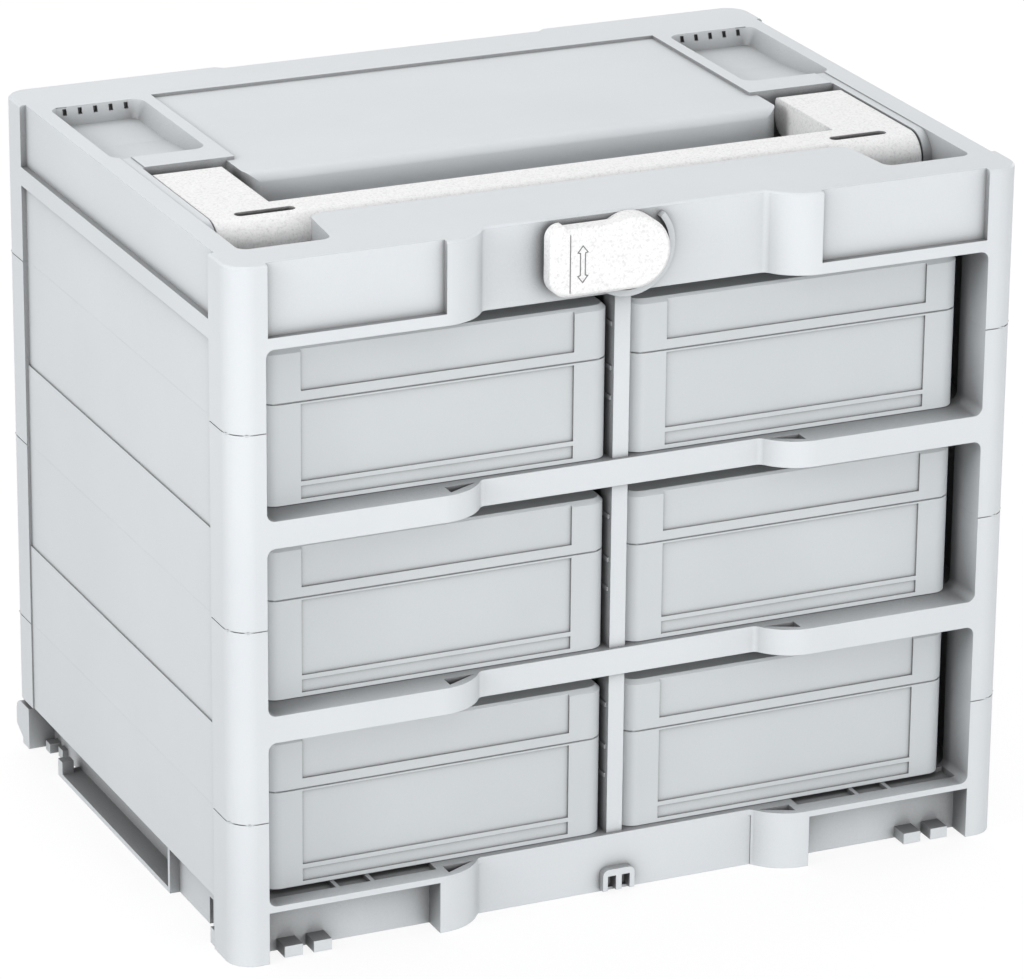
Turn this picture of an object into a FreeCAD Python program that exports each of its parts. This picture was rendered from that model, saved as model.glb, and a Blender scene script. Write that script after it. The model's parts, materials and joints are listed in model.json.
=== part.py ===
import FreeCAD, Part
import os
from math import cos, radians, sin, tan

# A stackable rack case: four stacked frames, a fold-down carry handle, a turn latch
# and six small lidded boxes that slide out at the front.
# Millimetres, +Z up, the front faces -Y, the origin is the middle of the footprint.

# Case walls and rows
case_width = 396.0
case_depth = 296.0
corner_radius = 12.0
side_wall = 7.0
back_wall = 8.0
pillar_width = 17.0
pillar_depth = 25.0
row_count = 3
column_count = 2
bay_height = 81.0
shelf_edge = 13.0
shelf_plate = 3.0
lip_wall = 3.5
floor_level = 28.5
apron_height = 39.5
seam_rise = 42.5
seam_height = 0.5
seam_depth = 0.4
neck_share = 0.6
running_gap = 0.3
bearing_gap = 0.06
overrun = 1.0
weld_gap = 0.01

# Stepped front line and the shallow step in the back
shoulder_half = 80.0
crease_run = 9.0
front_setback = 13.0
shoulder_radius = 26.0
crease_radius = 3.6
rear_recess_half = 84.0
rear_recess_run = 4.0
rear_recess = 3.0

# Side panels, from the open-topped upper recess down to the skirt
panel_end = 26.0
upper_recess_height = 30.5
upper_recess_depth = 3.0
ridge_height = 9.3
panel_relief = 0.8
panel_drop = 10.5
label_inset = 3.5
label_edge = 14.0
label_end = 1.0
label_rise = 5.5

# Shelf details
rib_width = 2.4
rib_count = 3
s_pocket_depth = 8.0
s_pocket_wall = 2.0
s_pocket_reach = 10.0
opening_radius = 4.0
peg_half = 3.0
peg_height = 4.0
peg_gap = 0.1

# Top deck, measured from the front and the sides
front_rim = 24.5
front_deck = 60.8
back_rim = 36.0
deck_floor = 5.0
deck_skin = 4.0
top_edge = 1.0
ear_rim = 14.5
ear_radius = 5.0
ear_slant = 1.7
deck_radius = 7.0
side_rim = 19.0
handle_side_gap = 1.0
handle_rear_gap = 7.5
pad_gap = 6.3
pad_radius = 7.0
pad_sink = 1.5
pad_edge_radius = 4.5
pad_border = 3.9
pad_back_rim = 32.6
pad_wall = 8.5
pocket_rim = 11.0
pocket_width = 46.8
pocket_wall = 17.3
pocket_depth = 8.5
pocket_lip = 5.0
pocket_flat = 42.0
pocket_draft = 3.5
pocket_radius = 6.0
pocket_slots = 5
pocket_slot_width = 2.0
pocket_slot_depth = 1.6
pocket_slot_height = 3.0
pocket_slot_drop = 1.0
ledge_sink = 0.5

# Carry handle
handle_sink = 1.0
handle_length = 86.0
handle_front_gap = 1.2
arm_width = 34.2
arm_height = 18.0
arm_wall = 3.0
arm_end_radius = 3.0
lobe_height = 30.5
lobe_depth = 14.0
lobe_slope = 6.0
waterfall_radius = 12.0
grip_width = 27.5
grip_height = 20.0
grip_radius = 7.0
edge_radius = 2.0
finger_gap = 41.5
slot_length = 29.4
slot_width = 5.4
slot_depth = 14.0
slot_setback = 13.6
slot_overlap = 7.8
slot_round_share = 0.49
pivot_radius = 3.0
pivot_seat = 2.5
pivot_reach = 20.0

# Turn latch
latch_drop = 17.5
latch_setback = 0.4
latch_radius = 17.0
latch_reach = 43.0
lever_up = 15.3
lever_thickness = 8.3
lever_end_radius = 9.0
lever_tab = 8.5
lever_tab_rise = 1.4
lever_tab_radius = 6.5
lever_neck = 4.0
lever_neck_run = 8.0
lever_neck_radius = 20.0
lever_edge = 1.5
collar_radius = 23.0
collar_wall = 3.0
collar_gap = 0.5
collar_start_deg = -124.0
collar_end_deg = 40.0
collar_steps = 3
full_turn_deg = 360.0
hub_gap = 0.4
shaft_radius = 5.0
boss_half = 9.0
boss_length = 5.0
retainer_half = 9.0
retainer_width = 2.4
groove_half = 3.4
shaft_end = 2.0

# Dividers between the two columns
divider_half = 4.0
divider_web = 3.0
divider_post = 12.0
divider_setback = 2.0
divider_back_gap = 1.0
guide_rise_shares = (0.343, 0.522, 0.785)
guide_height = 2.2
guide_reach = 0.7
guide_gap = 0.4

# Base
skirt_level = 26.0
base_inset = 8.0
base_wall = 4.0
base_back_inset = 14.0
pillar_foot = 27.0
lug_width = 9.0
lug_length = 10.0
lug_height = 5.5
lug_lift = 0.5
lug_edge = 8.5
lug_pitch = 14.5
lug_count = 2
ear_end = 15.8
cell_depth = 2.2
cell_front = 9.0
cell_rib = 2.0
cell_shares = (0.0, 0.42, 0.62, 1.0)
channel_front = 55.0
channel_back = 89.0
channel_plate = 2.5
channel_reach = 5.0
channel_stub = 9.0
foot_length = 6.0
foot_height = 8.0
pillar_gap = 4.5
pillar_gap_setback = 20.5
pillar_gap_height = 14.0
side_setback = 6.0
side_lug_width = 6.0
side_lug_rise = 5.0
side_lug_backs = (27.5, 37.5)
side_lug_ends = (8.0, 11.0)
rail_end = 0.5
rail_depth = 18.0
rail_lift = 0.5
rail_top = 22.0
rail_radius = 7.0
rail_foot = 9.0
rail_foot_height = 3.0
rail_lip = 8.0
rail_lip_radius = 2.0
catch_width = 16.4
catch_height = 10.8
catch_lift = 1.4
catch_depth = 8.0
catch_proud = 4.2
catch_slot_width = 4.2
catch_slot_height = 7.4
catch_slot_pitch = 7.2
catch_slot_depth = 6.2
catch_radius = 3.2

# Boxes
box_headroom = 6.7
box_side_gap = 4.9
box_front_gap = 3.5
box_back_gap = 6.5
box_radius = 8.0
box_wall = 2.2
box_floor = 2.4
base_height_share = 0.66
lid_lip = 1.3
lid_lip_gap = 0.3
lid_lip_drop = 3.0
lid_top = 2.4
lid_edge = 2.2
box_seam = 0.8
box_seam_depth = 1.0
panel_margin = 18.3
panel_depth = 1.0
foot_band = 2.0
lip_low = 8.2
lip_high = 10.4
base_panel_gap = 1.7
lid_panel_gap = 4.6

# Box latch on the left long side, hinge on the right one
catch_half = 21.0
catch_below = 27.0
catch_above = 8.6
catch_sink = 3.2
turn_drop = 12.0
turn_reach = 18.0
turn_half = 6.0
turn_thickness = 2.6
turn_edge = 2.5
turn_shaft_radius = 2.0
turn_head_half = 2.8
turn_head_width = 1.4
hinge_half = 34.0
hinge_inset = 3.4
hinge_drop = 3.4
hinge_bar_radius = 1.6
hinge_bar_sides = 8
hinge_gap = 0.5
hook_radius = 3.1
hook_half = 30.0
hook_root = 3.0
hook_mouth_share = 0.8

# Places that follow from the sizes
half_width = case_width / 2
half_depth = case_depth / 2
crease_half = shoulder_half - crease_run
row_pitch = bay_height + shelf_edge
shelf_levels = [floor_level + row * row_pitch for row in range(row_count)]
seam_levels = [level + seam_rise for level in shelf_levels]
apron_low = shelf_levels[-1] + bay_height
case_height = apron_low + apron_height
opening_half = half_width - pillar_width
inner_half = half_width - side_wall
pillar_back = pillar_depth - half_depth
inner_back = half_depth - back_wall
apron_front = front_setback - half_depth
panel_half = half_depth - panel_end
upper_recess_low = case_height - upper_recess_height

deck_edge = front_deck - half_depth
ear_front = front_rim - half_depth
handle_front = deck_edge + handle_front_gap
handle_back = handle_front + handle_length
grip_back = handle_front + grip_width
pad_front = grip_back + finger_gap
well_back = handle_back + handle_rear_gap
pocket_front = well_back + pocket_wall
pocket_back = half_depth - back_rim
pad_back = half_depth - pad_back_rim
well_half = half_width - side_rim
arm_outer = well_half - handle_side_gap
arm_inner = arm_outer - arm_width
pad_half = arm_inner - pad_gap
pocket_outer = half_width - pocket_rim
pocket_inner = pocket_outer - pocket_width
ear_outer = half_width - ear_rim
handle_top = case_height - handle_sink
arm_low = handle_top - arm_height
lobe_low = handle_top - lobe_height
channel_floor = apron_low + deck_floor
pivot_y = handle_back - arm_height / 2
pivot_z = handle_top - arm_height / 2

latch_z = case_height - latch_drop
latch_front = latch_setback - half_depth
latch_back = lever_thickness - half_depth
collar_front = latch_back + collar_gap
hub_back = apron_front - hub_gap
boss_back = apron_front + lip_wall + boss_length
retainer_front = boss_back + running_gap
retainer_back = retainer_front + retainer_width

box_inner = divider_half + guide_reach + guide_gap
box_outer = opening_half - box_side_gap
box_half = (box_outer - box_inner) / 2
box_middle = (box_outer + box_inner) / 2
box_front = apron_front + box_front_gap
box_back = inner_back - box_back_gap
box_height = bay_height - box_headroom - running_gap
box_seam_z = box_height * base_height_share
box_mid_depth = (box_back + box_front) / 2
base_front = apron_front
base_back = half_depth - base_back_inset
base_half = half_width - base_inset
notch_half = base_half - side_setback
rail_half = half_width - rail_end
rail_front = half_depth - rail_depth
hinge_x = box_half - hinge_inset
hinge_z = box_seam_z - hinge_drop
hinge_sink = hinge_inset + hook_radius + hinge_gap
hinge_below = hinge_drop + hook_radius + hinge_gap

AXES = {
    "XY": (lambda u, v, w: FreeCAD.Vector(u, v, w), FreeCAD.Vector(0, 0, 1)),
    "XZ": (lambda u, v, w: FreeCAD.Vector(u, w, v), FreeCAD.Vector(0, 1, 0)),
    "YZ": (lambda u, v, w: FreeCAD.Vector(w, u, v), FreeCAD.Vector(1, 0, 0)),
}


def block(x_low, x_high, y_low, y_high, z_low, z_high):
    size = (x_high - x_low, y_high - y_low, z_high - z_low)
    return Part.makeBox(*size, FreeCAD.Vector(x_low, y_low, z_low))


def pair(shape):
    """The shape and its mirror image across the middle plane."""
    return [shape, shape.mirror(FreeCAD.Vector(0, 0, 0), FreeCAD.Vector(1, 0, 0))]


def round_corner(before, corner, after, radius):
    """Tangent points and middle of the arc that rounds one corner of an outline."""
    to_before = (before - corner).normalize()
    to_after = (after - corner).normalize()
    half = to_before.getAngle(to_after) / 2
    middle = (to_before + to_after).normalize()
    run = radius / tan(half)
    return (corner + to_before * run, corner + middle * (radius / sin(half) - radius),
            corner + to_after * run)


def outline(corners, plane, level):
    """A closed wire through (u, v) corners, or rounded (u, v, radius) ones."""
    place = AXES[plane][0]
    points = [place(corner[0], corner[1], level) for corner in corners]
    arcs = []
    for index, corner in enumerate(corners):
        after = points[(index + 1) % len(points)]
        if len(corner) > 2:
            arcs.append(round_corner(points[index - 1], points[index], after, corner[2]))
        else:
            arcs.append((points[index],))
    edges = []
    for index, arc in enumerate(arcs):
        start = arcs[index - 1][-1]
        if start.distanceToPoint(arc[0]) > weld_gap:
            edges.append(Part.makeLine(start, arc[0]))
        if len(arc) > 1:
            edges.append(Part.Arc(*arc).toShape())
    return Part.Wire(edges)


def prism(corners, plane, low, high):
    """An outline extruded along the plane's normal."""
    normal = AXES[plane][1]
    return Part.Face(outline(corners, plane, low)).extrude(normal * (high - low))


def rectangle(u_low, u_high, v_low, v_high, *radius):
    return [(u_low, v_low, *radius), (u_high, v_low, *radius),
            (u_high, v_high, *radius), (u_low, v_high, *radius)]


def rod(plane, u, v, low, high, radius):
    place, normal = AXES[plane]
    return Part.makeCylinder(radius, high - low, place(u, v, low), normal)


def joined(shape, *others):
    return shape.fuse(list(others)).removeSplitter()


def front_line(back, half):
    """The stepped front line, moved back, from the left end to the right end."""
    outer = back - half_depth
    inner = outer + front_setback
    return [(-half, outer), (-shoulder_half, outer, shoulder_radius),
            (-crease_half, inner, crease_radius), (crease_half, inner, crease_radius),
            (shoulder_half, outer, shoulder_radius), (half, outer)]


def case_outline(inset):
    """The plan of the case, with its stepped front and the step in its back."""
    side = half_width - inset
    back = half_depth - inset
    front = front_line(inset, side)
    corners = [(*front[0], corner_radius), *front[1:-1], (*front[-1], corner_radius)]
    rear_outer = rear_recess_half + rear_recess_run
    corners += [(side, back, corner_radius), (rear_outer, back),
                (rear_recess_half, back - rear_recess), (-rear_recess_half, back - rear_recess),
                (-rear_outer, back), (-side, back, corner_radius)]
    return corners


def case_slab(low, high, inset=0):
    return prism(case_outline(inset), "XY", low, high)


def behind_front(back, half, rear, low, high):
    """All that lies behind the stepped front line, up to a straight rear line."""
    corners = [*front_line(back, half), (half, rear), (-half, rear)]
    return prism(corners, "XY", low, high)


def bay(low, high):
    """The space inside the walls: open at the front, with a pillar in each corner."""
    front = -half_depth - overrun
    rear_pillar = -pillar_back
    half = [(opening_half, front), (opening_half, pillar_back), (inner_half, pillar_back),
            (inner_half, rear_pillar), (opening_half, rear_pillar), (opening_half, inner_back)]
    return prism(half + [(-x, y) for x, y in reversed(half)], "XY", low, high)


def side_recesses():
    """The upper recess and the three stepped panels on both sides."""
    top = case_height + overrun
    steps = [level - panel_drop for level in reversed(shelf_levels[1:])]
    edges = [upper_recess_low - ridge_height, *steps, 0]
    bands = [(upper_recess_low, top, upper_recess_depth)]
    for index, low in enumerate(edges[1:]):
        bands.append((low, edges[index], panel_relief * (row_count - index)))
    cuts = []
    for low, high, depth in bands:
        outer = half_width + overrun
        cuts += pair(block(half_width - depth, outer, -panel_half, panel_half, low, high))
    return cuts


def peg_places():
    y = half_depth - pillar_depth / 2
    x = half_width - pillar_width / 2
    return [(side * x, end * y) for side in (-1, 1) for end in (-1, 1)]


def peg_blocks(low, high, half):
    return [block(x - half, x + half, y - half, y + half, low, high) for x, y in peg_places()]


def seam_neck(low, high):
    """The set-back neck of a wall ring, with its four corners cut off."""
    side, back = half_width - seam_depth, half_depth - seam_depth
    cut = corner_radius * neck_share
    half = [(side - cut, -back), (side, cut - back), (side, back - cut), (side - cut, back),
            (rear_recess_half + rear_recess_run, back), (rear_recess_half, back - rear_recess)]
    return prism(half + [(-x, y) for x, y in reversed(half)], "XY", low, high)


def wall_frame(low, high, seam_above, seam_below):
    """A ring of walls and pillars with a fine groove at the seam above it."""
    if seam_above:
        neck = high - seam_height
        ring = joined(case_slab(low, neck), seam_neck(neck, high))
    else:
        ring = case_slab(low, high)
    ring = ring.cut(bay(low - overrun, high + overrun))
    if seam_below:
        ring = ring.cut(peg_blocks(low - overrun, low + peg_height + peg_gap, peg_half + peg_gap))
    if seam_above:
        ring = joined(ring, *peg_blocks(high - overrun, high + peg_height, peg_half))
    return ring


def opening_corners(level, upward):
    """The rounded corners of a front opening, just above or just below one level."""
    middle = level + opening_radius if upward else level - opening_radius
    root = level - overrun if upward else level + overrun
    inner = opening_half - opening_radius
    corner = block(inner, opening_half + overrun, -half_depth, pillar_back,
                   min(root, middle), max(root, middle))
    return pair(corner.cut(rod("XZ", inner, middle, -half_depth - overrun, pillar_back + overrun,
                               opening_radius)))


def s_pockets(top):
    """The small three-cornered pockets behind the two curves of the front line."""
    front = lip_wall - half_depth
    back = apron_front - s_pocket_wall
    outer = shoulder_half + s_pocket_reach
    corners = [(outer, front), (outer, back), (crease_half + lip_wall, back)]
    return pair(prism(corners, "XY", top - s_pocket_depth, top + overrun))


def shelf(top):
    """A plate with a tall front edge along the stepped line and ribs underneath."""
    low = top - shelf_edge
    under = top - shelf_plate
    edge = case_slab(low, under).cut([
        behind_front(lip_wall, opening_half, half_depth + overrun, low - overrun, under + overrun),
        *pair(block(opening_half, half_width + overrun, pillar_back, half_depth + overrun,
                    low - overrun, under + overrun))])
    pocket_half = shoulder_half + s_pocket_reach + lip_wall
    pocket_floor = case_slab(top - s_pocket_depth - s_pocket_wall, under).common(
        block(-pocket_half, pocket_half, -half_depth, apron_front, low, top))
    ribs = [block(-divider_web / 2, divider_web / 2, apron_front + lip_wall, inner_back, low, under)]
    spacing = opening_half / (rib_count + 1)
    for index in range(rib_count):
        x = spacing * (index + 1)
        ribs += pair(block(x - rib_width / 2, x + rib_width / 2, apron_front + lip_wall, inner_back,
                           low, under))
    whole = joined(case_slab(under, top), edge, pocket_floor, *ribs, *opening_corners(top, True),
                   *opening_corners(low, False))
    return whole.cut(s_pockets(top))


def middle_frame(row):
    low, high = seam_levels[row - 1], seam_levels[row]
    ring = wall_frame(low, high, True, True)
    return joined(ring, shelf(shelf_levels[row])).cut(side_recesses())


def base_cells():
    """The shallow cells in the front ledge, on both sides of the middle."""
    outer = opening_half - cell_rib
    run = outer - shoulder_half - s_pocket_reach - cell_rib
    cuts = []
    for start, end in zip(cell_shares[:-1], cell_shares[1:]):
        x_high = outer - run * start
        x_low = outer - run * end + cell_rib
        cuts += pair(block(x_low, x_high, cell_front - half_depth, apron_front + cell_front,
                           floor_level - cell_depth, floor_level + overrun))
    return cuts


def base_lugs():
    first = opening_half - lug_edge - lug_width
    lugs = []
    for index in range(lug_count):
        x = first - index * lug_pitch
        lugs += pair(block(x, x + lug_width, base_front - lug_length, base_front + base_wall,
                           lug_lift, lug_lift + lug_height))
    return lugs


def side_channels():
    """The long rib frames on the sides of the base, each with a tall post, a stub and a foot."""
    outer = base_half + channel_reach
    inner = notch_half - overrun
    stub_back = channel_back + foot_length
    plate = block(inner, outer, -channel_front, stub_back, 0, channel_plate)
    front_post = block(base_half - overrun, outer, -channel_front - channel_plate, -channel_front,
                       0, skirt_level)
    stub = block(outer - foot_length, outer, channel_back, stub_back, 0, channel_stub)
    foot_front = pillar_foot - half_depth
    foot = block(base_half, half_width, foot_front, foot_front + foot_length, 0, foot_height)
    shapes = [plate, front_post, stub, foot]
    for back, end in zip(side_lug_backs, side_lug_ends):
        y = half_depth - back
        shapes.append(block(inner, half_width - end, y, y + side_lug_width, lug_lift,
                            lug_lift + side_lug_rise))
    return [piece for shape in shapes for piece in pair(shape)]


def pillar_gaps():
    """The narrow slots up into the side walls of the base, behind the front pillars."""
    front = pillar_foot + pillar_gap_setback - half_depth
    return pair(block(base_half - base_wall - overrun, half_width + overrun, front,
                      front + pillar_gap, -overrun, pillar_gap_height))


def rear_rail():
    """The lipped rail along the bottom of the back."""
    foot_back = rail_front + rail_foot
    profile = [(rail_front, rail_lift), (foot_back, rail_lift),
               (foot_back, rail_lift + rail_foot_height), (half_depth, rail_lip, rail_lip_radius),
               (half_depth, rail_top, rail_radius), (rail_front, rail_top)]
    return prism(profile, "YZ", -rail_half, rail_half)


def skirt_outline(inset):
    """The plan of the base, set back along both sides from the channels to the rear."""
    wide, narrow = base_half - inset, notch_half - inset
    step = -channel_front - inset
    half = [(wide, base_front + inset), (wide, step), (narrow, step), (narrow, base_back - inset)]
    return half + [(-x, y) for x, y in reversed(half)]


def bottom_frame():
    high = seam_levels[0]
    under = floor_level - shelf_plate
    ring = wall_frame(skirt_level, high, True, False)
    skirt = prism(skirt_outline(0), "XY", 0, under)
    hollow = prism(skirt_outline(base_wall), "XY", -overrun, under + overrun)
    full = case_slab(0, under)
    ear_outer_x = shoulder_half + ear_end
    ears = [full.common(shape) for shape in
            pair(block(crease_half, ear_outer_x, -half_depth, base_front + base_wall, 0, under))]
    pillars = [full.common(shape) for shape in
               pair(block(opening_half, half_width, -half_depth, pillar_foot - half_depth, 0, under))]
    whole = joined(ring, case_slab(under, floor_level), skirt.cut(hollow), *ears, *pillars,
                   *base_lugs(), *side_channels(), rear_rail(),
                   *opening_corners(floor_level, True))
    return whole.cut([*side_recesses(), *s_pockets(floor_level), *base_cells(), *pillar_gaps(),
                      catch_body(overrun)])


def catch_body(extra):
    front = base_front - catch_proud
    half = catch_width / 2
    top = catch_lift + catch_height
    corners = [(-half, catch_lift), (half, catch_lift), (half, top, catch_radius),
               (-half, top, catch_radius)]
    return prism(corners, "XZ", front - extra, front + catch_depth)


def front_catch():
    """The insert that a latch from below hooks into, with two upright slots."""
    front = base_front - catch_proud
    slots = []
    for side in (-1, 1):
        x = side * catch_slot_pitch / 2
        slots.append(block(x - catch_slot_width / 2, x + catch_slot_width / 2, front - overrun,
                           front + catch_slot_depth, 0, catch_lift + catch_slot_height))
    return catch_body(0).cut(slots)


def divider(row):
    """The strip between the two columns: posts at both ends and guide ribs on a web."""
    low = shelf_levels[row]
    high = low + bay_height
    front = apron_front + divider_setback
    back = inner_back - divider_back_gap
    web_half = divider_web / 2
    rear_post = back - divider_post
    posts = [block(-divider_half, divider_half, front, front + divider_post, low, high),
             block(-divider_half, divider_half, rear_post, back, low, high)]
    guides = []
    reach = divider_half + guide_reach
    for share in guide_rise_shares:
        z = low + bay_height * share
        guides.append(block(-reach, reach, front + guide_height, rear_post, z, z + guide_height))
    web = block(-web_half, web_half, front, back, low, high)
    return joined(web, *posts, *guides)


def collar():
    """The raised arc around the round end of the latch."""
    inner = collar_radius - collar_wall
    back = apron_front + overrun
    ring = rod("XZ", 0, latch_z, collar_front, back, collar_radius)
    ring = ring.cut(rod("XZ", 0, latch_z, collar_front - overrun, back + overrun, inner))
    reach = collar_radius + collar_radius
    gap = [(0, latch_z)]
    span = collar_start_deg + full_turn_deg - collar_end_deg
    for step in range(collar_steps + 1):
        angle = radians(collar_end_deg + span * step / collar_steps)
        gap.append((reach * cos(angle), latch_z + reach * sin(angle)))
    return ring.cut(prism(gap, "XZ", collar_front - overrun, back + overrun))


def deck_pockets():
    """Two rear pockets with drafted walls: a flat floor at the back, then a gentle ramp."""
    top = case_height + overrun
    floor = case_height - pocket_depth
    ramp = [(pocket_front, top), (pocket_front, case_height - pocket_lip),
            (pocket_back - pocket_flat, floor), (pocket_back, floor), (pocket_back, top)]
    plans = []
    for inset in (pocket_draft, 0):
        plans.append(rectangle(pocket_inner + inset, pocket_outer - inset, pocket_front + inset,
                               pocket_back - inset, pocket_radius - inset))
    drafted = Part.makeLoft([outline(plans[0], "XY", floor), outline(plans[1], "XY", case_height)],
                            True, True)
    mouth = prism(plans[1], "XY", case_height, top)
    pocket = joined(drafted, mouth).common(prism(ramp, "YZ", pocket_inner, pocket_outer))
    cuts = pair(pocket)
    pitch = (pocket_outer - pocket_inner) / (pocket_slots + 1)
    slot_top = case_height - pocket_slot_drop
    for index in range(pocket_slots):
        x = pocket_inner + pitch * (index + 1)
        cuts += pair(block(x - pocket_slot_width / 2, x + pocket_slot_width / 2,
                           pocket_back - pocket_draft, pocket_back + pocket_slot_depth,
                           slot_top - pocket_slot_height, slot_top))
    return cuts


def handle_well():
    """The recess for the handle: the grip channel, two arm wells and the open front corners."""
    half = [(pad_half - ear_slant, deck_edge, deck_radius),
            (pad_half + ear_slant, ear_front, ear_radius), (ear_outer, ear_front, ear_radius),
            (ear_outer, handle_front), (well_half, handle_front), (well_half, well_back),
            (pad_half, well_back), (pad_half, pad_front, pad_radius)]
    mirrored = [(-corner[0], *corner[1:]) for corner in reversed(half)]
    return prism(half + mirrored, "XY", channel_floor, case_height + overrun)


def rolled_edge(x_low, x_high, front, top, radius):
    """What is cut off to let a front edge roll over into the face below it."""
    middle, low = front + radius, top - radius
    corner = block(x_low, x_high, front - overrun, middle, low, case_height + overrun)
    return corner.cut(rod("YZ", middle, low, x_low - overrun, x_high + overrun, radius))


def deck_hollows():
    """The hollows under the deck, open below, that leave it an even skin."""
    low = apron_low - overrun
    pad_inner = pad_half - pad_wall
    under_pad = block(-pad_inner, pad_inner, pad_front + pad_wall, pad_back, low,
                      case_height - pad_sink - deck_skin)
    front_top = case_height - deck_skin
    inner = pad_half - ear_slant - deck_skin
    front = behind_front(label_inset + deck_skin, inner, deck_edge - deck_skin, low, front_top)
    side = block(pocket_inner + deck_skin, pocket_outer - deck_skin, well_back + deck_skin,
                 pocket_back - deck_skin, low, case_height - pocket_depth - deck_skin)
    return [under_pad, front, *pair(side)]


def top_frame():
    low = seam_levels[-1]
    walls = wall_frame(low, apron_low, False, True)
    deck = broken_rim(case_slab(apron_low, case_height), case_height, top_edge)
    deck = deck.cut(deck_hollows())
    boss = block(-boss_half, boss_half, apron_front + overrun, boss_back, latch_z - boss_half,
                 latch_z + boss_half)
    whole = joined(walls, deck, boss, collar(), *opening_corners(apron_low, False))
    recess_half = pad_half - pad_border
    top = case_height + overrun
    pad_top = case_height - pad_sink
    pad_recess = block(-recess_half, recess_half, well_back - overrun, pad_back, pad_top, top)
    pad_brow = block(-pad_half - overrun, pad_half + overrun, pad_front - overrun, well_back,
                     pad_top, top)
    ledge_top = case_height - ledge_sink
    ledge = block(well_half - overrun, ear_outer, handle_front, pocket_back, ledge_top, top)
    ledge_roll = rolled_edge(well_half - overrun, ear_outer, handle_front, ledge_top,
                             waterfall_radius)
    pad_roll = rolled_edge(-pad_half - overrun, pad_half + overrun, pad_front, pad_top,
                           pad_edge_radius)
    label = block(shoulder_half + label_edge, opening_half - label_end, -half_depth - overrun,
                  label_inset - half_depth, apron_low + label_rise, top)
    cuts = [*side_recesses(), *deck_pockets(), handle_well(), pad_recess, pad_brow,
            pad_roll, *pair(ledge), *pair(ledge_roll), *pair(label)]
    shaft = rod("XZ", 0, latch_z, apron_front - overrun, boss_back + overrun,
                shaft_radius + bearing_gap)
    pivots = pair(pivot_pin())
    return whole.cut([*cuts, shaft, *pivots])


def pivot_pin():
    """A stub pin, pressed into the wall of the well, that carries one arm of the handle."""
    return rod("YZ", pivot_y, pivot_z, arm_outer - pivot_reach, well_half + pivot_seat, pivot_radius)


def handle_arm():
    """One wide arm: rounded under the pivot, with a front that falls away into a lobe."""
    end = arm_height / 2
    lobe_back = handle_front + lobe_depth
    profile = [(handle_back, handle_top, arm_end_radius), (handle_back, arm_low, end),
               (lobe_back + lobe_slope, arm_low), (lobe_back, lobe_low),
               (handle_front, lobe_low), (handle_front, handle_top, waterfall_radius)]
    arm = prism(profile, "YZ", arm_inner, arm_outer)
    hollow = block(arm_inner + arm_wall, arm_outer - arm_wall, grip_back + arm_wall,
                   pivot_y - arm_height, lobe_low - overrun, handle_top - arm_wall)
    bore = rod("YZ", pivot_y, pivot_z, arm_outer - pivot_reach - running_gap, arm_outer + overrun,
               pivot_radius + bearing_gap)
    return arm.cut([hollow, bore])


def carry_handle():
    low = handle_top - grip_height
    profile = [(grip_back, handle_top, edge_radius), (grip_back, low, grip_radius),
               (handle_front, low, grip_radius), (handle_front, handle_top, waterfall_radius)]
    grip = prism(profile, "YZ", -arm_inner, arm_inner)
    whole = joined(grip, *pair(handle_arm()))
    slot_mid = handle_front + slot_setback
    slot_inner = arm_inner - slot_overlap
    slot = prism(rectangle(slot_inner, slot_inner + slot_length, slot_mid - slot_width / 2,
                           slot_mid + slot_width / 2, slot_width * slot_round_share), "XY",
                 handle_top - slot_depth, handle_top + overrun)
    return whole.cut(pair(slot))


def turn_latch():
    """The lever: a round head on the pivot, a flat arm to the left and a raised end tab."""
    front, back = latch_front, latch_back
    low, high = latch_z - latch_radius, latch_z + latch_radius
    arm_top = latch_z + lever_up
    tab_top = arm_top + lever_tab_rise
    tab = lever_tab - latch_reach
    corners = [(-latch_reach, low, lever_end_radius), (latch_radius, low, latch_radius),
               (latch_radius, high, latch_radius), (-lever_neck, high, lever_neck_radius),
               (-lever_neck - lever_neck_run, arm_top, lever_neck_radius), (tab, arm_top),
               (tab - lever_tab_rise, tab_top), (-latch_reach, tab_top, lever_tab_radius)]
    lever = prism(corners, "XZ", front, back)
    rim = [edge for edge in lever.Edges if edge.BoundBox.YMax < front + running_gap]
    lever = lever.makeChamfer(lever_edge, rim)
    hub = rod("XZ", 0, latch_z, back - overrun, hub_back, latch_radius)
    shaft = rod("XZ", 0, latch_z, hub_back - overrun, retainer_front, shaft_radius)
    neck = block(-groove_half, groove_half, retainer_front - overrun, retainer_back + overrun,
                 latch_z - groove_half, latch_z + groove_half)
    end = rod("XZ", 0, latch_z, retainer_back, retainer_back + shaft_end, shaft_radius)
    return joined(lever, hub, shaft, neck, end)


def latch_retainer():
    """A flat clip pushed up over the square neck of the shaft."""
    plate = block(-retainer_half, retainer_half, retainer_front, retainer_back,
                  latch_z - retainer_half, latch_z + retainer_half)
    slot = block(-groove_half, groove_half, retainer_front - overrun, retainer_back + overrun,
                 latch_z - retainer_half - overrun, latch_z + groove_half)
    return plate.cut(slot)


def box_slab(low, high):
    corners = rectangle(-box_half, box_half, box_front, box_back, box_radius)
    return prism(corners, "XY", low, high)


def broken_rim(shape, level, size):
    """Breaks the outer edges that lie at one level."""
    rim = [edge for edge in shape.Edges
           if abs(edge.BoundBox.ZMin - level) + abs(edge.BoundBox.ZMax - level) < running_gap]
    return shape.makeChamfer(size, rim)


def eight_sides(inset, low, high):
    """An eight-sided prism at an even inset from the walls of a box."""
    side = box_half - inset
    front, back = box_front + inset, box_back - inset
    cut = (box_radius - inset) * neck_share
    half = [(side - cut, front), (side, front + cut), (side, back - cut), (side - cut, back)]
    return prism(half + [(-x, y) for x, y in reversed(half)], "XY", low, high)


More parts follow.
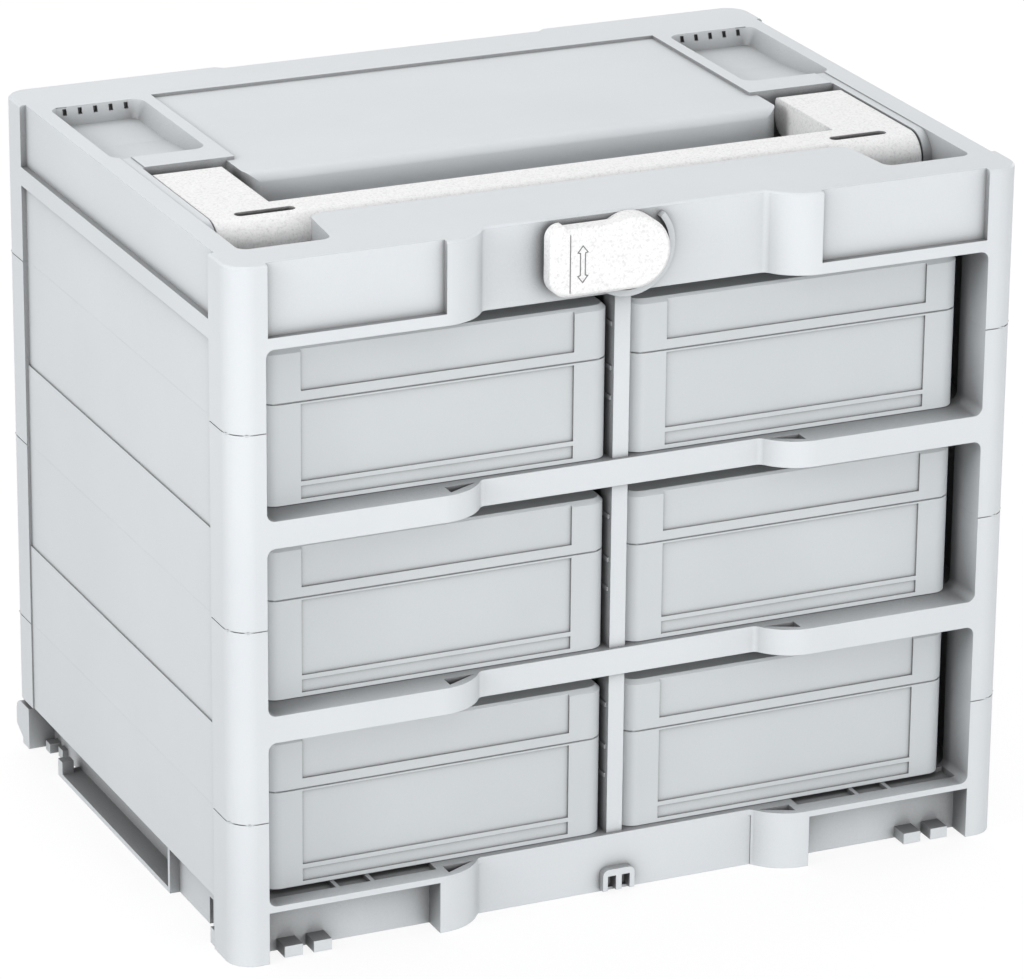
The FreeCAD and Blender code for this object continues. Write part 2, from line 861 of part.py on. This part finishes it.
def face_panels(low, high):
    """Shallow panels on the front and the back of a box, between two levels."""
    side = box_half - panel_margin
    return [block(-side, side, box_front - overrun, box_front + panel_depth, low, high),
            block(-side, side, box_back - panel_depth, box_back + overrun, low, high)]


def latch_pocket():
    """The sunk place of the box latch on the left side."""
    return block(-box_half - overrun, catch_sink - box_half, box_mid_depth - catch_half,
                 box_mid_depth + catch_half, box_seam_z - catch_below, box_seam_z + catch_above)


def latch_backing(low, high):
    half = catch_half + box_wall
    return block(box_wall / 2 - box_half, catch_sink + box_wall - box_half, box_mid_depth - half,
                 box_mid_depth + half, low, high)


def hinge_pocket():
    """The sunk place of the hinge in the right side of the tray."""
    return block(box_half - hinge_sink, box_half + overrun, box_mid_depth - hinge_half,
                 box_mid_depth + hinge_half, box_seam_z - hinge_below, box_seam_z + overrun)


def hinge_backing(low, high):
    half = hinge_half + box_wall
    return block(box_half - hinge_sink - box_wall, box_half - box_wall / 2, box_mid_depth - half,
                 box_mid_depth + half, low, high)


def hinge_bar():
    """The many-sided bar across the sunk place, that the hook of the lid turns on."""
    corners = []
    for index in range(hinge_bar_sides):
        angle = radians(full_turn_deg * index / hinge_bar_sides)
        corners.append((hinge_x + hinge_bar_radius * cos(angle),
                        hinge_z + hinge_bar_radius * sin(angle)))
    return prism(corners, "XZ", box_mid_depth - hinge_half - overrun,
                 box_mid_depth + hinge_half + overrun)


def hinge_hook():
    """A long hook under the edge of the lid that clips over the hinge bar of the tray."""
    low, high = box_mid_depth - hook_half, box_mid_depth + hook_half
    bottom = hinge_z - hook_radius
    hook = block(hinge_x - hook_radius, hinge_x + hook_radius, low, high, bottom,
                 box_seam_z + hook_root)
    bore = hinge_bar_radius + running_gap
    seat = block(hinge_x - bore, hinge_x + bore, low - overrun, high + overrun,
                 hinge_z - bore, hinge_z + bore)
    mouth_half = hinge_bar_radius * hook_mouth_share
    mouth = block(hinge_x - mouth_half, hinge_x + mouth_half, low - overrun, high + overrun,
                  bottom - overrun, hinge_z)
    return hook.cut([seat, mouth])


def box_base():
    neck = box_seam_z - box_seam
    tray = joined(box_slab(0, neck), eight_sides(box_seam_depth, neck, box_seam_z))
    tray = tray.cut(eight_sides(box_wall, box_floor, box_seam_z + overrun))
    low = box_floor / 2
    tray = joined(tray, latch_backing(low, box_seam_z), hinge_backing(low, box_seam_z))
    bore = turn_shaft_radius + bearing_gap
    axis = box_seam_z - turn_drop
    window = block(-box_half, catch_sink + box_wall + overrun - box_half, box_mid_depth - bore,
                   box_mid_depth + bore, axis - bore, axis + bore)
    tray = tray.cut([latch_pocket(), hinge_pocket(), window, *face_panels(foot_band, lip_low),
                     *face_panels(lip_high, box_seam_z - base_panel_gap)])
    return joined(tray, hinge_bar())


def lid_lips():
    """Two ledges that drop inside the front and back walls of the tray."""
    half = box_half - box_radius
    gap = box_wall + lid_lip_gap
    high = box_seam_z + lid_lip_drop
    lips = []
    for wall, way in ((box_front, 1), (box_back, -1)):
        outer, middle, inner = (wall + way * inset for inset in (box_wall / 2, gap, gap + lid_lip))
        lips.append(block(-half, half, min(outer, inner), max(outer, inner), box_seam_z, high))
        lips.append(block(-half, half, min(middle, inner), max(middle, inner),
                          box_seam_z - lid_lip_drop, high))
    return lips


def box_lid():
    ceiling = box_height - lid_top
    lid = broken_rim(box_slab(box_seam_z, box_height), box_height, lid_edge)
    lid = lid.cut(eight_sides(box_wall, box_seam_z - overrun, ceiling))
    lid = joined(lid, latch_backing(box_seam_z, ceiling + lid_top / 2))
    lid = lid.cut([latch_pocket(), *face_panels(box_seam_z + lid_panel_gap, box_height + overrun)])
    return joined(lid, *lid_lips(), hinge_hook())


def box_latch():
    """A small turn latch: it points up across the seam, and its shaft clips into the tray."""
    y, z = box_mid_depth, box_seam_z - turn_drop
    front = running_gap - box_half
    back = front + turn_thickness
    inner = turn_half - turn_edge
    low, high = z - turn_half, z + turn_reach
    half = [(y + inner, low), (y + turn_half, low + turn_edge), (y + turn_half, high - turn_edge),
            (y + inner, high)]
    lever = prism(half + [(y + y - v, w) for v, w in reversed(half)], "YZ", front, back)
    inside = catch_sink + box_wall + running_gap - box_half
    shaft = rod("YZ", y, z, back - running_gap, inside + running_gap, turn_shaft_radius)
    head = block(inside, inside + turn_head_width, y - turn_head_half, y + turn_head_half,
                 z - turn_head_half, z + turn_head_half)
    return joined(lever, shaft, head)


def box_shift(index):
    """Where a box stands: numbered row by row from the top left."""
    row, column = divmod(index, column_count)
    x = box_middle if column else -box_middle
    z = shelf_levels[row_count - 1 - row] + running_gap
    return FreeCAD.Vector(x, 0, z)


def parts():
    yield "top_frame", top_frame()
    yield "middle_frame_upper", middle_frame(2)
    yield "middle_frame_lower", middle_frame(1)
    yield "bottom_frame", bottom_frame()
    for row, name in enumerate(("bottom", "middle", "top")):
        yield "divider_" + name, divider(row)
    yield "front_catch", front_catch()
    yield "handle_pivot_pins", Part.makeCompound(pair(pivot_pin()))
    yield "carry_handle", carry_handle()
    yield "turn_latch", turn_latch()
    yield "latch_retainer", latch_retainer()
    pieces = {"base": box_base(), "lid": box_lid(), "latch": box_latch()}
    for index in range(row_count * column_count):
        for piece, shape in pieces.items():
            yield f"box_{index + 1}_{piece}", shape.translated(box_shift(index))


os.makedirs("parts", exist_ok=True)
for node, solid in parts():
    solid.exportStep(f"parts/{node}.step")
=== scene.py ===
import json
from math import cos, radians, sin

import bmesh
import bpy
from mathutils import Matrix, Vector


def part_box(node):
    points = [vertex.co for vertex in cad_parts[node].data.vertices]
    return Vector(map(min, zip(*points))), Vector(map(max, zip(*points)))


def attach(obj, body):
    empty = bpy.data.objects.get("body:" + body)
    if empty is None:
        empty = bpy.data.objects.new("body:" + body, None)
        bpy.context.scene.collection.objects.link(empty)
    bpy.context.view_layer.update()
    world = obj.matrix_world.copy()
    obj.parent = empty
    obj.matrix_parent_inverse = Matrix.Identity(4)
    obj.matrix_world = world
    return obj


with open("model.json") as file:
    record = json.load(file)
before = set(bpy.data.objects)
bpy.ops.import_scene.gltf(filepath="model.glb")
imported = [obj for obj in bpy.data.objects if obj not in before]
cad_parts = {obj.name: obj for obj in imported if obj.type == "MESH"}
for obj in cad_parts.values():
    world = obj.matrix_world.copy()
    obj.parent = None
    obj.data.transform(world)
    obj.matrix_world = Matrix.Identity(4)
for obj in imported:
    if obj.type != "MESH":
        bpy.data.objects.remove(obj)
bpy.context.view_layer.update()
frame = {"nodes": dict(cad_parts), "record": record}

# The photograph's frame and the camera solved on it: pixels, metres, degrees, and mm for the sensor
PHOTO_WIDTH, PHOTO_HEIGHT = 1024, 979
FOCAL_PIXELS = 5668.7
PRINCIPAL_ROW = 486.6
CAMERA_PLACE = Vector((-1.06153, -2.33446, 1.11813))
CAMERA_AZIMUTH, CAMERA_ELEVATION, CAMERA_ROLL = -24.58, 20.56, 0.55
CAMERA_REACH = 50
SENSOR_WIDTH = 36.0

# The surround: its strength as light on the object, and as the camera sees it
SURROUND_COLOUR = (1, 1, 1, 1)
SURROUND_LIGHT, SURROUND_SEEN = 0.58, 1.0

# The floor: its size and finish, and the share and strength of the white glow that the camera sees
FLOOR_SIZE = 30
FLOOR_COLOUR, FLOOR_ROUGHNESS = (0.45, 0.45, 0.45, 1), 0.9
FLOOR_SEEN_SHARE, FLOOR_GLOW = 0.7, 1.24

# Each softbox: its name, its place, the spot it aims at, its width and height, and its watts
SOFTBOXES = (
    ("front_softbox", (-0.05, -1.7, 0.5), (0, 0, 0.17), (1.6, 0.6), 15),
    ("left_softbox", (-1.5, -0.35, 0.9), (0, 0, 0.2), (0.7, 0.7), 10.5),
    ("back_softbox", (0.2, 1.6, 2.2), (0, 0, 0.3), (1.4, 1.4), 13),
    ("right_softbox", (1.7, 0.9, 0.8), (0, 0, 0.17), (1.0, 1.0), 9),
)

# What the finishes share: rays for rounded edges and for the painted shade in recesses, and the
# plastics' refraction
EDGE_SAMPLES, RECESS_SAMPLES = 6, 6
PLASTIC_IOR = 1.46

# Moulded plastic of the housing and the boxes. A noise is its scale per metre and its detail, an
# edge is the radius it seems rounded to, and a bump is its strength and its depth
HOUSING_COLOURS = (0.67, 0.70, 0.725, 1), (0.71, 0.74, 0.76, 1)
# The boxes' greys are their plastic's own tone made darker, as a painted shade for the bays they
# sit in
BOX_SHADED_COLOURS = (0.58, 0.61, 0.63, 1), (0.62, 0.65, 0.665, 1)
GRAIN_NOISE, CLOUD_NOISE, SPECK_NOISE = (2600, 2), (14, 3), (1500, 1)
CLOUD_RANGE, SPECK_RANGE, TONE_RANGE = (0.3, 0.7), (0.6, 0.75), (0.1, 1.1)
CLOUD_SHARE, GRAIN_SHARE, SPECK_SHARE = 0.75, 0.5, 0.2
MOULDED_ROUGHNESS, CLOUD_ROUGHNESS, GRAIN_ROUGHNESS = 0.46, 0.1, 0.08
MOULDED_EDGE, MOULDED_BUMP = 0.0004, (0.12, 0.0001)

# Painted shade in its recesses: how far around a spot counts, how closed in the spot is where the
# painted shade starts and where it turns to a painted dark gap, and the colours of that painted
# shade
RECESS_REACH, RECESS_SHADE_RANGE, GAP_SHADE_RANGE = 0.035, (0.04, 0.5), (0.55, 0.9)
RECESS_SHADE_COLOUR, GAP_SHADE_COLOUR = (0.23, 0.235, 0.24, 1), (0.07, 0.07, 0.072, 1)

# Grained white plastic of the handle and the lever, and the painted shade in its slots; a noise
# also has its roughness
WHITE_COLOURS = (0.74, 0.74, 0.74, 1), (0.96, 0.96, 0.96, 1)
SPARK_NOISE, PIT_NOISE = (1100, 3, 0.7), (700, 2, 0.6)
SPARK_RANGE, PIT_RANGE = (0.3, 0.7), (0.5, 0.7)
WHITE_TONE, SPARK_SHARE, PIT_SHARE = 0.4, 0.7, 0.6
WHITE_ROUGHNESS, SPARK_ROUGHNESS = 0.5, 0.15
WHITE_EDGE, WHITE_BUMP, PIT_DEPTH = 0.0012, (0.3, 0.0002), 0.6
SLOT_REACH, SLOT_SHADE_RANGE, SLOT_SHADE_COLOUR = 0.02, (0.15, 0.6), (0.03, 0.03, 0.03, 1)

# Steel of the handle's pins: its streaks are a noise drawn out along X
STEEL_COLOURS = (0.50, 0.50, 0.51, 1), (0.68, 0.68, 0.69, 1)
STREAK_SCALE, STREAK_NOISE = (40, 2500, 2500), (1, 2)
STEEL_ROUGHNESS, STREAK_ROUGHNESS = 0.28, 0.14
STEEL_EDGE, STEEL_BUMP = 0.0003, (0.05, 0.0001)

# Dull grey of the sign
SIGN_COLOURS = (0.13, 0.13, 0.135, 1), (0.19, 0.19, 0.195, 1)
SIGN_NOISE = (1800, 2)
SIGN_ROUGHNESS, SIGN_GRAIN_ROUGHNESS = 0.55, 0.2

# The sign on the lever: a fine line and an outlined double arrow, a little proud of its face
SIGN_RISE = 0.00015
SIGN_STROKE = 0.00045
SAME_LEVEL = 0.00015
LINE_X, LINE_LOW, LINE_HIGH = -0.0335, 0.3052, 0.3318
LINE_TIP, LINE_TIP_SHARE = 0.0007, 0.4
ARROW_X, ARROW_LOW, ARROW_HIGH = -0.0273, 0.3088, 0.3269
ARROW_HEAD, ARROW_FLARE, ARROW_POINT_SHARE = 0.0036, 0.0004, 0.5
ARROW_SHAFT_WIDTH, ARROW_HEAD_WIDTH = 0.0029, 0.0057


class Value:
    """One value inside a finish: its arithmetic adds Math nodes, and node() adds any other."""

    # The Mix node's sockets for colours, by number, because its other sockets have the same names
    MIX_LOW, MIX_HIGH, MIX_RESULT = 6, 7, 2

    def __init__(self, tree, socket):
        self.tree = tree
        self.socket = socket

    def node(self, kind, settings, inputs, output=0):
        made = self.tree.nodes.new(kind)
        for name, setting in settings.items():
            setattr(made, name, setting)
        for name, given in inputs.items():
            if isinstance(given, Value):
                self.tree.links.new(given.socket, made.inputs[name])
            else:
                made.inputs[name].default_value = given
        return Value(self.tree, made.outputs[output])

    def math(self, operation, *given):
        return self.node("ShaderNodeMath", {"operation": operation}, dict(enumerate(given)))

    def __add__(self, other):
        return self.math("ADD", self, other)

    def __radd__(self, other):
        return self.math("ADD", other, self)

    def __sub__(self, other):
        return self.math("SUBTRACT", self, other)

    def __rsub__(self, other):
        return self.math("SUBTRACT", other, self)

    def __mul__(self, other):
        return self.math("MULTIPLY", self, other)

    def __rmul__(self, other):
        return self.math("MULTIPLY", other, self)

    def clipped(self, low, high):
        """Stretches low..high to 0..1 and clips what lies outside."""
        return self.node("ShaderNodeMapRange", {"clamp": True},
                         {"Value": self, "From Min": low, "From Max": high})

    def noise(self, scale, detail, roughness=0.5):
        return self.node("ShaderNodeTexNoise", {"noise_dimensions": "3D"},
                         {"Vector": self, "Scale": scale, "Detail": detail,
                          "Roughness": roughness})

    def mixed(self, low, high):
        """A colour between two colours, by this value."""
        return self.node("ShaderNodeMix", {"data_type": "RGBA"},
                         {"Factor": self, self.MIX_LOW: low, self.MIX_HIGH: high},
                         self.MIX_RESULT)


def new_finish(name):
    finish = bpy.data.materials.new(name)
    finish.use_nodes = True
    tree = finish.node_tree
    shader = tree.nodes["Principled BSDF"]
    start = tree.nodes.new("ShaderNodeTexCoord")
    return finish, shader, Value(tree, start.outputs["Object"])


def feed(shader, **values):
    """Links the values that come from nodes, and sets the others on the shader itself."""
    for name, given in values.items():
        socket = shader.inputs[name.replace("_", " ")]
        if isinstance(given, Value):
            given.tree.links.new(given.socket, socket)
        else:
            socket.default_value = given


def soft_edges(place, radius, grain, bump):
    """A normal with slightly rounded edges and a fine grain on it."""
    strength, depth = bump
    edge = place.node("ShaderNodeBevel", {"samples": EDGE_SAMPLES}, {"Radius": radius})
    return place.node("ShaderNodeBump", {}, {"Strength": strength, "Distance": depth,
                                             "Height": grain, "Normal": edge})


def deep_in(place, reach, moves):
    """How far a spot lies in a recess or a gap, which sets the painted shade: 0 in the open, 1
    where all around is closed.

    On a piece that moves, only its own walls count, because it leaves its neighbours behind.
    """
    openness = place.node("ShaderNodeAmbientOcclusion",
                          {"samples": RECESS_SAMPLES, "only_local": moves},
                          {"Distance": reach}, "AO")
    return 1 - openness


def moulded_plastic(name, dark, light, moves):
    """Light grey moulded plastic: a fine spark grain, faint flow clouds, softly rounded edges.

    Deep recesses and narrow gaps are darkened with painted shade, by how closed in they are.
    """
    finish, shader, place = new_finish(name)
    grain = place.noise(*GRAIN_NOISE)
    clouds = place.noise(*CLOUD_NOISE)
    specks = place.noise(*SPECK_NOISE).clipped(*SPECK_RANGE)
    layers = clouds.clipped(*CLOUD_RANGE) * CLOUD_SHARE + grain * GRAIN_SHARE
    tone = (layers - specks * SPECK_SHARE).clipped(*TONE_RANGE)
    # Painted shade: ambient occlusion darkens the colour towards a grey in recesses and near black
    # in gaps
    depth = deep_in(place, RECESS_REACH, moves)
    recess_shade = depth.clipped(*RECESS_SHADE_RANGE).mixed(tone.mixed(dark, light), RECESS_SHADE_COLOUR)
    feed(shader, Base_Color=depth.clipped(*GAP_SHADE_RANGE).mixed(recess_shade, GAP_SHADE_COLOUR),
         Roughness=MOULDED_ROUGHNESS + clouds * CLOUD_ROUGHNESS + grain * GRAIN_ROUGHNESS,
         Normal=soft_edges(place, MOULDED_EDGE, grain, MOULDED_BUMP), IOR=PLASTIC_IOR)
    return finish


def grained_white(name, dark, light):
    """Near-white plastic with a coarse speckled spark grain, and a painted shade in its slots."""
    finish, shader, place = new_finish(name)
    grain = place.noise(*SPARK_NOISE)
    pits = place.noise(*PIT_NOISE).clipped(*PIT_RANGE)
    sparks = grain.clipped(*SPARK_RANGE) * SPARK_SHARE
    tone = (sparks + WHITE_TONE - pits * PIT_SHARE).clipped(0, 1)
    # Painted shade: ambient occlusion turns the colour in the slots near black
    slot_shade = deep_in(place, SLOT_REACH, True).clipped(*SLOT_SHADE_RANGE)
    feed(shader, Base_Color=slot_shade.mixed(tone.mixed(dark, light), SLOT_SHADE_COLOUR),
         Roughness=WHITE_ROUGHNESS + grain * SPARK_ROUGHNESS,
         Normal=soft_edges(place, WHITE_EDGE, grain - pits * PIT_DEPTH, WHITE_BUMP),
         IOR=PLASTIC_IOR)
    return finish


def pin_steel(name, dark, light):
    """Plain pin stock with a drawn grain along its length."""
    finish, shader, place = new_finish(name)
    along = place.node("ShaderNodeMapping", {}, {"Vector": place, "Scale": STREAK_SCALE})
    streaks = along.noise(*STREAK_NOISE)
    feed(shader, Base_Color=streaks.mixed(dark, light), Metallic=1.0,
         Roughness=STEEL_ROUGHNESS + streaks * STREAK_ROUGHNESS,
         Normal=soft_edges(place, STEEL_EDGE, streaks, STEEL_BUMP))
    return finish


def sign_grey(name, dark, light):
    """The dull grey of the moulded sign lines."""
    finish, shader, place = new_finish(name)
    grain = place.noise(*SIGN_NOISE)
    feed(shader, Base_Color=grain.mixed(dark, light),
         Roughness=SIGN_ROUGHNESS + grain * SIGN_GRAIN_ROUGHNESS, IOR=PLASTIC_IOR)
    return finish


def dress_nodes():
    """Gives each CAD node the finish of its material slot."""
    by_slot = {
        "housing_plastic": moulded_plastic("moulded_housing", *HOUSING_COLOURS, moves=False),
        "box_plastic": moulded_plastic("moulded_box", *BOX_SHADED_COLOURS, moves=True),
        "white_plastic": grained_white("grained_white", *WHITE_COLOURS),
        "steel": pin_steel("pin_steel", *STEEL_COLOURS),
    }
    for subpart in frame["record"]["subparts"]:
        node = frame["nodes"][subpart["node"]]
        node.data.materials.clear()
        node.data.materials.append(by_slot[subpart["material_slot"]])


def start_plate(name, x, low, high, width):
    """A sheet on the lever's face, from one level to another, with its place in its mesh."""
    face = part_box("turn_latch")[0][1]
    bpy.ops.object.select_all(action="DESELECT")
    bpy.ops.mesh.primitive_plane_add(size=1, location=(x, face, (low + high) / 2),
                                     rotation=(radians(90), 0, 0))
    plate = bpy.context.object
    plate.name = plate.data.name = name
    plate.scale = (width, high - low, 1)
    bpy.ops.object.transform_apply(location=True, rotation=True, scale=True)
    return plate


def grow_edge(plate, level, rise, spread):
    """Extrudes the edge at one level up or down and makes it wider or narrower."""
    bpy.ops.mesh.select_all(action="DESELECT")
    sheet = bmesh.from_edit_mesh(plate.data)
    for vertex in sheet.verts:
        vertex.select_set(abs(vertex.co.z - level) < SAME_LEVEL)
    sheet.select_flush(True)
    bmesh.update_edit_mesh(plate.data)
    ends = [vertex.co for vertex in sheet.verts if vertex.select]
    middle = sum(ends, Vector()) / len(ends)
    bpy.ops.mesh.extrude_region_move(TRANSFORM_OT_translate={"value": (0, 0, rise)})
    bpy.ops.transform.resize(value=(spread, 1, 1), center_override=middle)


def finish_sign(plate, grey):
    """Gives the sheet its thickness, half of it sunk, and lets it turn with the lever."""
    bpy.ops.object.mode_set(mode="OBJECT")
    bpy.ops.object.modifier_add(type="SOLIDIFY")
    solidify = plate.modifiers[-1]
    solidify.thickness = 2 * SIGN_RISE
    solidify.offset = 0
    bpy.ops.object.modifier_apply(modifier=solidify.name)
    plate.data.materials.append(grey)
    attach(plate, "latch")


def add_sign_line(grey):
    """The fine upright line beside the end of the lever, with tapered ends."""
    line = start_plate("lever_line", LINE_X, LINE_LOW, LINE_HIGH, SIGN_STROKE)
    bpy.ops.object.mode_set(mode="EDIT")
    bpy.ops.mesh.select_mode(type="VERT")
    grow_edge(line, LINE_HIGH, LINE_TIP, LINE_TIP_SHARE)
    grow_edge(line, LINE_LOW, -LINE_TIP, LINE_TIP_SHARE)
    bpy.ops.mesh.select_all(action="SELECT")
    bpy.ops.mesh.normals_make_consistent(inside=False)
    finish_sign(line, grey)


def add_sign_arrow(grey):
    """The outlined double arrow: a shaft, two heads grown from its ends, then only the rim kept."""
    neck = ARROW_HEAD + ARROW_FLARE
    flare = ARROW_HEAD_WIDTH / ARROW_SHAFT_WIDTH
    arrow = start_plate("lever_arrow", ARROW_X, ARROW_LOW + neck, ARROW_HIGH - neck,
                        ARROW_SHAFT_WIDTH)
    bpy.ops.object.mode_set(mode="EDIT")
    bpy.ops.mesh.select_mode(type="VERT")
    for end, way in ((ARROW_HIGH, 1), (ARROW_LOW, -1)):
        grow_edge(arrow, end - way * neck, way * ARROW_FLARE, flare)
        grow_edge(arrow, end - way * ARROW_HEAD, way * ARROW_HEAD, ARROW_POINT_SHARE)
        bpy.ops.mesh.merge(type="CENTER")
    bpy.ops.mesh.select_all(action="SELECT")
    bpy.ops.mesh.normals_make_consistent(inside=False)
    bpy.ops.mesh.inset(thickness=SIGN_STROKE, depth=0, use_boundary=True, use_even_offset=True)
    bpy.ops.mesh.delete(type="FACE")
    finish_sign(arrow, grey)


def add_camera():
    angles = CAMERA_AZIMUTH, CAMERA_ELEVATION, CAMERA_ROLL
    azimuth, elevation, roll = (radians(angle) for angle in angles)
    back = Vector((sin(azimuth) * cos(elevation), -cos(azimuth) * cos(elevation), sin(elevation)))
    right = Vector((0, 0, 1)).cross(back).normalized()
    up = back.cross(right)
    right, up = right * cos(roll) + up * sin(roll), up * cos(roll) - right * sin(roll)
    lens = bpy.data.cameras.new("photo_camera")
    lens.sensor_fit = "HORIZONTAL"
    lens.sensor_width = SENSOR_WIDTH
    lens.lens = FOCAL_PIXELS * SENSOR_WIDTH / PHOTO_WIDTH
    lens.shift_y = (PRINCIPAL_ROW - PHOTO_HEIGHT / 2) / PHOTO_WIDTH
    lens.clip_end = CAMERA_REACH
    camera = bpy.data.objects.new("photo_camera", lens)
    turn = Matrix((right, up, back)).transposed().to_4x4()
    camera.matrix_world = Matrix.Translation(CAMERA_PLACE) @ turn
    bpy.context.scene.collection.objects.link(camera)
    bpy.context.scene.camera = camera


def seen_directly(tree):
    """1 where the camera, a mirror-like surface or glass sees the backdrop, 0 for its light."""
    path = tree.nodes.new("ShaderNodeLightPath")
    camera, gloss, through = (Value(tree, path.outputs[name]) for name in
                              ("Is Camera Ray", "Is Glossy Ray", "Is Transmission Ray"))
    return (camera + gloss + through).clipped(0, 1)


def add_surround():
    """A white surround, whose light comes only from above the horizon.

    The floor casts no shadow, so it would not hold back light from below.
    """
    world = bpy.data.worlds.new("studio")
    bpy.context.scene.world = world
    world.use_nodes = True
    tree = world.node_tree
    seen = seen_directly(tree)
    way = Value(tree, tree.nodes.new("ShaderNodeTexCoord").outputs["Generated"])
    height = way.node("ShaderNodeSeparateXYZ", {}, {"Vector": way}, "Z")
    above = height.math("GREATER_THAN", height, 0)
    feed(tree.nodes["Background"], Color=SURROUND_COLOUR,
         Strength=seen * SURROUND_SEEN + (1 - seen) * above * SURROUND_LIGHT)


def add_floor():
    """A pale floor that keeps the object's shadow, with a white glow where the camera sees it.

    It casts no shadow itself, so that the foot of the housing doesn't count as a recess.
    """
    bpy.ops.object.select_all(action="DESELECT")
    bpy.ops.mesh.primitive_plane_add(size=FLOOR_SIZE, location=(0, 0, 0))
    floor = bpy.context.object
    floor.name = "studio_floor"
    finish, shader, place = new_finish("pale_floor")
    tree = place.tree
    feed(shader, Base_Color=FLOOR_COLOUR, Roughness=FLOOR_ROUGHNESS)
    glow = tree.nodes.new("ShaderNodeEmission")
    feed(glow, Strength=FLOOR_GLOW)
    mix = tree.nodes.new("ShaderNodeMixShader")
    feed(mix, Fac=seen_directly(tree) * FLOOR_SEEN_SHARE)
    tree.links.new(shader.outputs["BSDF"], mix.inputs[1])
    tree.links.new(glow.outputs["Emission"], mix.inputs[2])
    tree.links.new(mix.outputs["Shader"], tree.nodes["Material Output"].inputs["Surface"])
    floor.data.materials.append(finish)
    floor.visible_shadow = False


def add_softbox(name, place, aim, size, power):
    lamp = bpy.data.lights.new(name, "AREA")
    lamp.shape = "RECTANGLE"
    lamp.size, lamp.size_y = size
    lamp.energy = power
    softbox = bpy.data.objects.new(name, lamp)
    way = Vector(aim) - Vector(place)
    softbox.rotation_euler = way.to_track_quat("-Z", "Y").to_euler()
    softbox.location = place
    softbox.visible_camera = False
    bpy.context.scene.collection.objects.link(softbox)


def add_studio():
    bpy.context.scene.view_settings.view_transform = "Standard"
    add_surround()
    add_floor()
    for softbox in SOFTBOXES:
        add_softbox(*softbox)


dress_nodes()
lever_grey = sign_grey("sign_grey", *SIGN_COLOURS)
add_sign_line(lever_grey)
add_sign_arrow(lever_grey)
add_camera()
add_studio()
